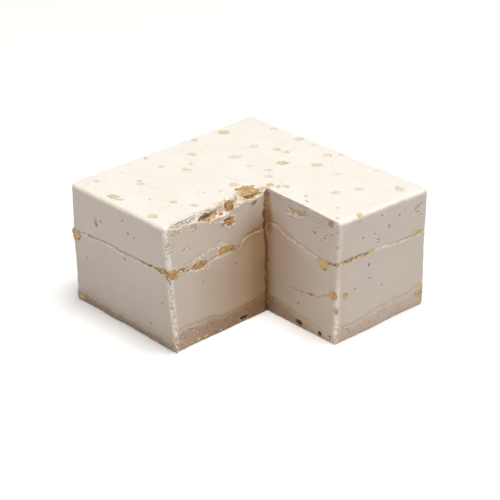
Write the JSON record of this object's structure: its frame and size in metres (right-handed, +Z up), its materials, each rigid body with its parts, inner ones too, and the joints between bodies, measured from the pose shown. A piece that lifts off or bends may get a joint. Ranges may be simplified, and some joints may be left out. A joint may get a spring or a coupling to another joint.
{
  "type": "nougat",
  "caption": "Block of soft layered nougat with one corner cut out: a grainy foot, a thick middle and a nut-flecked top layer, crumbled along the upper edge of the cut.",
  "frame": {"origin": "on the surface that the block stands on, under the middle of its bounding box", "axes": "+Z up through the layers; the cut-out corner is at +X and -Y; the longer cut wall faces +X and the shorter one faces -Y"},
  "size_m": [0.062, 0.0611, 0.0317],
  "materials": {
    "top_nougat": "soft cream-white nougat, dull, with fine pits",
    "middle_nougat": "soft cream nougat, smooth where the knife went, with chipped rims",
    "grainy_foot": "darker beige, grainy, with ground nuts in it",
    "chopped_nut": "golden brown chopped nut, slightly oily"
  },
  "bodies": {
    "root": {"foot_layer": "grainy_foot", "middle_layer": "middle_nougat", "top_layer": "top_nougat"}
  },
  "joints": []
}
